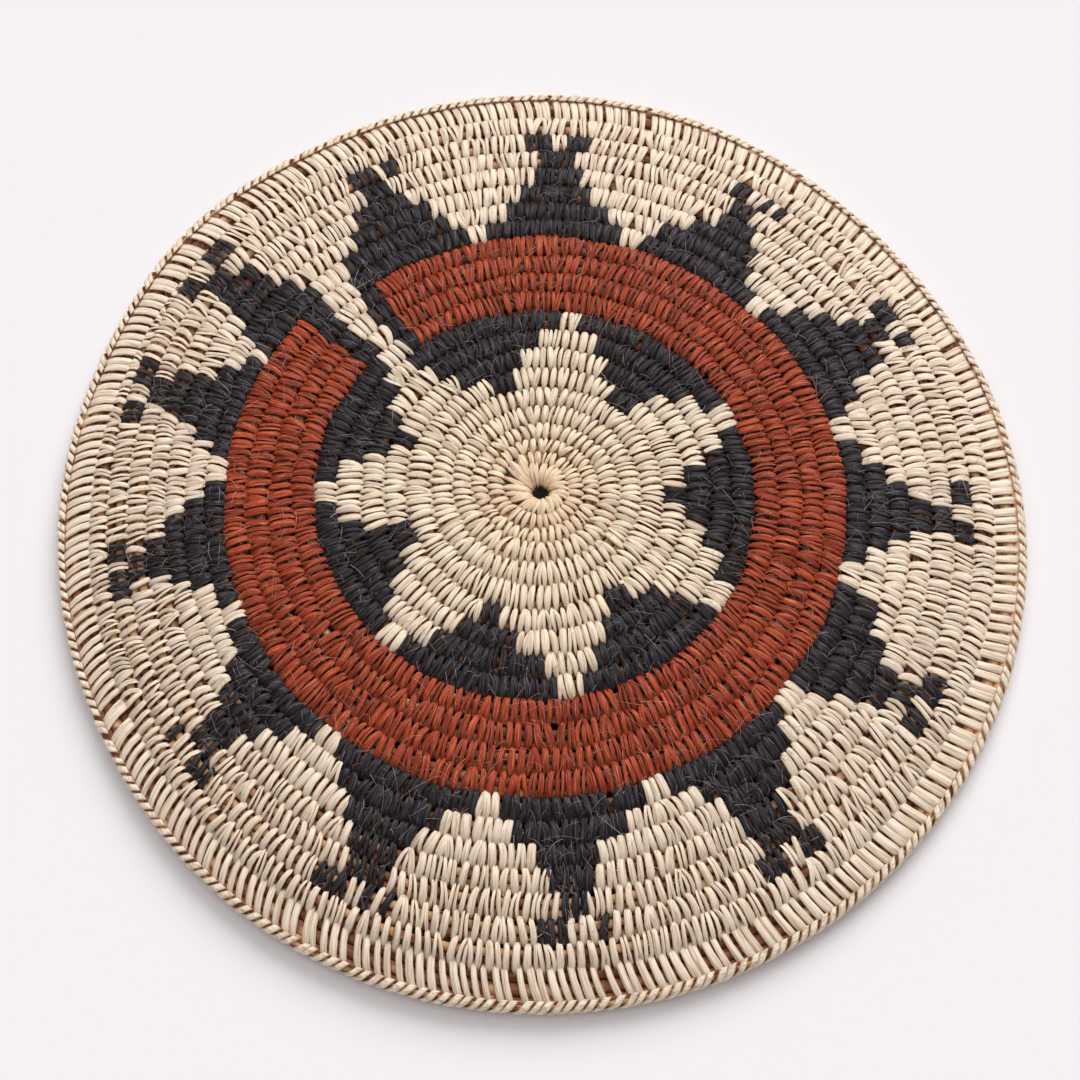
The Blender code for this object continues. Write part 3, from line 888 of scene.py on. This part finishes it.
class BASKET_OT_start_knot(bpy.types.Operator):
    """Lays the stitches that run from the hole to the first turn"""

    bl_idname = "basket.start_knot"
    bl_label = "Start knot"

    def execute(self, context):
        sizes = context.scene.basket_sizes
        random = np.random.default_rng(sizes.seed + 1)
        pattern = model_splint_loop()
        count = sizes.start_stitches
        each = (count, 1)
        middle = FULL_TURN * ((np.arange(count)[:, None] + random.uniform(-0.25, 0.25, each)) / count)
        first, last = KNOT_SPAN
        near = np.clip((first - middle) / KNOT_FADE[0], 0, 1)
        near = near * np.clip((middle - last) / KNOT_FADE[1], 0, 1)
        long_reach = KNOT_REACH * (0.4 + 0.7 * (first - middle) / (first - last))
        oval = 1 + HOLE_OVAL * np.cos(2 * np.radians(middle))
        inner = HOLE_RADIUS * random.uniform(0.90, 1.22, each) * oval
        grooves = groove_radius((SEAM - middle) / FULL_TURN % 1)
        outer = np.minimum(grooves, KNOT_RADIUS) * random.uniform(1.10, 1.20, each) + near * long_reach
        x, y, z = pattern.points.T
        across = (x / PITCH - LOOP_INNER) / LOOP_LENGTH
        radius = inner + across * (outer - inner)
        wide = KNOT_STITCH_WIDTH * random.uniform(0.7, 1.2, each) * (1 + 0.4 * near) * (y / SPLINT_WIDTH)
        swirl = KNOT_SWIRL * np.clip(across, 0, 1) * random.uniform(0.3, 1.2, each)
        angle = middle + swirl + np.degrees(wide / np.maximum(radius, KNOT_FAN_RADIUS))
        rise = z * along_table(across, KNOT_RISE) * random.uniform(0.95, 1.05, each)
        places = on_plan(radius, angle, dome_height(radius) + rise)
        lay_white("start_knot_stitches", pattern, places, KNOT_TONE, random, "start_ring")
        return {"FINISHED"}


# Rods


def sweep_rods(name, rods, pale):
    """Round rods along their paths, as one piece. pale holds the paleness of each rod along its path."""
    sides = np.arange(ROD_SIDES)
    turned = 2 * np.pi * sides[:, None] / ROD_SIDES
    points, corners, uvs = [], [], []
    for centres, ups, outs, radius in rods:
        stations = np.arange(len(centres))
        ring = np.cos(turned) * outs[:, None] + np.sin(turned) * ups[:, None]
        steps = np.linalg.norm(np.diff(centres, axis=0), axis=1)
        lengths = np.concatenate([[0], np.cumsum(steps)]) * 100
        near, far = stations[:-1, None], stations[1:, None]
        quad = ((near, sides), (near, sides + 1), (far, sides + 1), (far, sides))
        faces = np.stack([ROD_SIDES * station + side % ROD_SIDES for station, side in quad], axis=-1)
        spots = [np.stack(np.broadcast_arrays(lengths[station], side), axis=-1) for station, side in quad]
        caps = [sides[::-1], ROD_SIDES * stations[-1] + sides]
        first = len(points) * ROD_SIDES * len(centres)
        points.append((centres[:, None] + ring * radius).reshape(-1, 3))
        corners.append(np.concatenate([faces.ravel(), *caps]) + first)
        uvs += [np.stack(spots, axis=2).reshape(-1, 2), np.zeros((ROD_SIDES * len(caps), 2))]
    sizes = np.tile([4] * (faces.size // 4) + [ROD_SIDES] * len(caps), len(rods))
    tone = np.repeat(np.concatenate(pale), ROD_SIDES)
    return build_mesh(name, *map(np.concatenate, (points, corners)), sizes, np.concatenate(uvs), tone=tone)


def rod_frame(centres, outward):
    """Directions out and up across a rod's path."""
    along = np.gradient(centres, axis=0)
    along /= np.linalg.norm(along, axis=1)[:, None]
    ups = np.cross(outward, along)
    ups /= np.linalg.norm(ups, axis=1)[:, None]
    outs = np.cross(along, ups)
    return outs, ups


class BASKET_OT_foundation(bpy.types.Operator):
    """Winds the foundation rods from the centre to the rim"""

    bl_idname = "basket.foundation"
    bl_label = "Foundation rods"

    def execute(self, context):
        turns = np.arange(*ROD_TURNS, ROD_STEP / FULL_TURN)
        middle, pitch = coil_place(turns)
        angle = coil_angle(turns)
        thin = np.clip(pitch / PITCH, 0.2, 1)
        opened, last = grown(turns, *OPEN_TURNS), grown(turns, *LAST_TURNS)
        lift = OPEN_LIFT * opened
        lift += RED_LIFT * np.array([field_kind(field_name(turn)) == "red" for turn in turns])
        outward = on_plan(middle + PITCH, angle, 0) - on_plan(middle, angle, 0)
        rods = []
        for across, up, size, _ in COIL_RODS:
            radius = middle + across * pitch
            rise = (up + (lift if up > 0 else 0)) * HALF_COIL * thin
            rise -= 2 * LAST_DIVE * last * (across > OUTER_ROD_ACROSS)
            centres = on_plan(radius, angle, dome_height(radius) + rise)
            outs, ups = rod_frame(centres, outward)
            rods.append((centres, ups * thin[:, None], outs * thin[:, None], size))
        bleached = 0.74 + 0.26 * opened
        bleached *= 0.93 + 0.07 * np.cos(np.radians(angle - OPEN_FRONT))
        bleached += 0.7 * np.clip(CENTRE_TURNS - turns, 0, 1)
        piece = sweep_rods("foundation_rods", rods, [pale * bleached for *_, pale in COIL_RODS])
        finish_piece(piece, "rod")
        return {"FINISHED"}


def braid_section(along):
    """How far inside the rim's radius a braid strip lies, and its height."""
    shares, inside, heights = np.array(BRAID_PATH).T
    return np.interp(along, shares, inside), np.interp(along, shares, heights)


class BASKET_OT_rim(bpy.types.Operator):
    """Makes the rim: its rods, its slanting stitches and the braid along its edge"""

    bl_idname = "basket.rim"
    bl_label = "Rim"

    def execute(self, context):
        random = np.random.default_rng(context.scene.basket_sizes.seed + 2)
        self.rods()
        angles = self.gaps_of_last_turn(context, random)[:, None]
        self.stitches(angles, random)
        self.braid(angles, random)
        return {"FINISHED"}

    def gaps_of_last_turn(self, context, random):
        """Angles of the rim's stitches, evenly spaced and pulled into the gaps of the turn inside it."""
        sizes = context.scene.basket_sizes
        turns = Stitches(sizes, np.random.default_rng(sizes.seed)).turns
        ends = np.sort(coil_angle(turns[turns > TURNS - 1]) % FULL_TURN)
        gaps = (ends + np.roll(ends, -1)) / 2
        gaps = np.where(gaps < ends, gaps - FULL_TURN / 2, gaps)
        count = round(2 * math.pi * RIM_RADIUS / RIM_SPACING)
        even = FULL_TURN * (np.arange(count) + random.uniform(-0.10, 0.10, count)) / count
        widest, drift = RIM_UNEVEN
        even = even + drift * np.sin(np.radians(even - widest))
        off = short_way(gaps, even[:, None])
        nearest = off[np.arange(count), np.abs(off).argmin(axis=1)]
        return even + np.clip(RIM_GIVE * nearest, -RIM_PULL, RIM_PULL)

    def rods(self):
        angle = SEAM - np.arange(0, FULL_TURN + ROD_STEP / 2, ROD_STEP / 2)
        rods = []
        for middle, height, size, _ in RIM_RODS:
            radius = np.full(len(angle), middle)
            centres = on_plan(radius, angle, height)
            outward = on_plan(radius + PITCH, angle, 0) - on_plan(radius, angle, 0)
            outs, ups = rod_frame(centres, outward)
            rods.append((centres, ups, outs, size))
        bleached = bulges(angle, RIM_PALE)
        piece = sweep_rods("rim_rods", rods, [pale + bleached for *_, pale in RIM_RODS])
        finish_piece(piece, "rod", "rim_rod_1", "rim_rod_2", "rim_rod_3")

    def stitches(self, angles, random):
        pattern = model_splint_loop()
        each = angles.shape
        x, y, z = pattern.points.T
        across = np.clip((x / PITCH - LOOP_INNER) / LOOP_LENGTH, -0.05, 1.05)
        start, end = RIM_ENDS
        first = start + random.normal(0, RIM_END_SPREAD, each)
        radius = first + across * (end - first)
        wide = RIM_STITCH_WIDTH / SPLINT_WIDTH * random.uniform(0.80, 1.12, each)
        wide = wide * (1 + bulges(angles, RIM_WIDE))
        top = np.clip(z / HALF_COIL, 0, 1)
        slant = rim_slant(angles) * random.uniform(0.85, 1.15, each)
        curve = np.abs(across) ** 1.7 * np.clip(0.4 + top, 0, 1)
        side = y * along_table(across, RIM_STITCH_SHAPE) * wide + slant * curve
        angle = angles + np.degrees(side / RIM_RADIUS)
        tilt = RIM_TILT * ((start + end) / 2 - radius) + RIM_RISE * np.clip(1 - 2 * across, 0, 1)
        thick = RIM_HALF * random.uniform(0.96, 1.02, each)
        height = RIM_LEVEL + tilt * top + z / HALF_COIL * thick
        places = on_plan(radius, angle, height)
        lay_white("rim_stitches", pattern, places, RIM_TONE, random, "rim_binding")

    def braid(self, angles, random):
        pattern = model_strip()
        x, y, z = pattern.points.T
        along = x + 0.5
        (in_part, level), before, after = map(braid_section, (along, along - 0.05, along + 0.05))
        steep = np.arctan2(before[1] - after[1], before[0] - after[0])
        rise = random.uniform(*BRAID_RISE, angles.shape) + (z + BRAID_TILT * y)
        radius = RIM_RADIUS - in_part + rise * np.sin(steep)
        height = level + rise * np.cos(steep)
        side = BRAID_SLANT * rim_slant(angles) + BRAID_LEAN * (0.04 - along)
        side = side + y * random.uniform(0.85, 1.1, angles.shape)
        angle = angles + np.degrees(side / RIM_RADIUS)
        places = on_plan(radius, angle, height)
        lay_white("rim_braid_strips", pattern, places, BRAID_TONE, random, "rim_braid")


class BASKET_OT_loose_fibres(bpy.types.Operator):
    """Scatters hair-thin fibres that stand off the splints"""

    bl_idname = "basket.loose_fibres"
    bl_label = "Loose fibres"

    def execute(self, context):
        sizes = context.scene.basket_sizes
        random = np.random.default_rng(sizes.seed + 3)
        pattern = model_hair()
        rooted = {kind: [] for kind in HAIR_COLOURS}
        while sum(map(len, rooted.values())) < sizes.fibres:
            angle = random.uniform(0, FULL_TURN)
            turn = TURNS * math.sqrt(random.random())
            turn = math.floor(turn) + (SEAM - angle) / FULL_TURN % 1
            kind = field_kind(field_name(min(turn, STITCHED_TURNS[1])))
            if kind == "white" and random.random() < WHITE_HAIRLESS:
                continue
            radius = float(groove_radius(turn)) + PITCH * random.random()
            if radius < RIM_RADIUS:
                rooted[kind].append((radius, angle))
        for kind, roots in rooted.items():
            places = self.bend(pattern, np.array(roots), random)
            tones = random.uniform(*HAIR_TONES, len(roots))
            piece = lay_copies(f"loose_{kind}_fibres", pattern, places, tones, random)
            finish_piece(piece, kind, material=hair_material(kind))
        return {"FINISHED"}

    def bend(self, pattern, roots, random):
        """Points of every fibre, curling off its root over the splints."""
        root_radius, root_angle = roots.T[:, :, None]
        each = root_angle.shape
        x, y, z = pattern.points.T
        length = random.gamma(*HAIR_LENGTH, each)
        thick = random.uniform(*HAIR_WIDTH, each)
        heading = root_angle + random.normal(0, HAIR_HEADING, each)
        heading = np.radians(heading + FULL_TURN // 2 * random.integers(0, 2, each))
        curl = random.normal(0, HAIR_CURL, each)
        turned = heading + curl * x
        aside = np.where(np.abs(curl) < LEAST_CURL, LEAST_CURL, curl)
        start = on_plan(root_radius, root_angle, 0)
        eastward = (np.sin(turned) - np.sin(heading)) / aside
        northward = (np.cos(heading) - np.cos(turned)) / aside
        east = start[..., 0] + length * eastward - y * thick * np.sin(turned)
        north = start[..., 1] + length * northward + y * thick * np.cos(turned)
        reach = np.hypot(east, north / (1 + OVAL_SHARE / 2))
        ridge = dome_height(np.minimum(reach, RIM_RADIUS)) + HALF_COIL
        height = ridge + random.uniform(*HAIR_RISE, each) * np.sin(2.6 * x) + z * thick
        return np.stack([east, north, height], axis=-1)


class BASKET_OT_stage(bpy.types.Operator):
    """Sets the camera, the floor and the light"""

    bl_idname = "basket.stage"
    bl_label = "Stage"

    def execute(self, context):
        self.camera(context)
        self.floor()
        self.light(context)
        context.scene.view_settings.view_transform = "Standard"
        return {"FINISHED"}

    def camera(self, context):
        data = bpy.data.cameras.new("view")
        data.lens = CAMERA_LENS
        data.sensor_width = SENSOR_WIDTH
        camera = link_object("view", data)
        hole = Vector((0, 0, dome_height(0) + HOLE_LEVEL))
        raised = math.radians(CAMERA_ELEVATION)
        camera.location = hole + CAMERA_DISTANCE * Vector((0, -math.cos(raised), math.sin(raised)))
        focal = CAMERA_LENS / SENSOR_WIDTH * IMAGE_SIDE
        down = raised + math.atan((IMAGE_SIDE / 2 - HOLE_PIXEL[1]) / focal)
        aside = math.atan((HOLE_PIXEL[0] - IMAGE_SIDE / 2) / focal)
        camera.rotation_euler = (math.pi / 2 - down, 0, aside)
        context.scene.camera = camera

    def floor(self):
        deselect()
        bpy.ops.mesh.primitive_plane_add(size=FLOOR_SIZE)
        floor = bpy.context.object
        floor.name = "floor"
        material, tree, shader = new_material("floor_paper", 0.9, 0.1)
        set_inputs(tree, shader, {"Base Color": (*FLOOR_COLOUR, 1)})
        floor.data.materials.append(material)

    def light(self, context):
        world = bpy.data.worlds.new("studio")
        context.scene.world = world
        world.use_nodes = True
        background = world.node_tree.nodes["Background"]
        set_inputs(world.node_tree, background, {"Color": (1, 1, 1, 1), "Strength": WORLD_STRENGTH})
        for name, strength, spread, turn in LAMPS:
            data = bpy.data.lights.new(name, "SUN")
            data.energy = strength
            data.angle = math.radians(spread)
            link_object(name, data).rotation_euler = [math.radians(degree) for degree in turn]


OPERATORS = (
    BASKET_OT_stage,
    BASKET_OT_start_knot,
    BASKET_OT_coil_stitches,
    BASKET_OT_foundation,
    BASKET_OT_rim,
    BASKET_OT_loose_fibres,
)


class BASKET_PT_panel(bpy.types.Panel):
    """Lists the steps that make the basket"""

    bl_idname = "BASKET_PT_panel"
    bl_label = "Coiled basket"
    bl_space_type = "VIEW_3D"
    bl_region_type = "UI"
    bl_category = "Basket"

    def draw(self, context):
        for group in (context.scene.basket_sizes, context.scene.basket_colours):
            for key in group.__annotations__:
                self.layout.prop(group, key)
        for operator in OPERATORS:
            self.layout.operator(operator.bl_idname)


CLASSES = (BasketSizes, BasketColours, *OPERATORS, BASKET_PT_panel)


def register():
    for item in CLASSES:
        bpy.utils.register_class(item)
    bpy.types.Scene.basket_sizes = PointerProperty(type=BasketSizes)
    bpy.types.Scene.basket_colours = PointerProperty(type=BasketColours)


def unregister():
    del bpy.types.Scene.basket_colours
    del bpy.types.Scene.basket_sizes
    for item in reversed(CLASSES):
        bpy.utils.unregister_class(item)


def main():
    register()
    for operator in OPERATORS:
        group, name = operator.bl_idname.split(".")
        getattr(getattr(bpy.ops, group), name)()


if __name__ == "__main__":
    main()
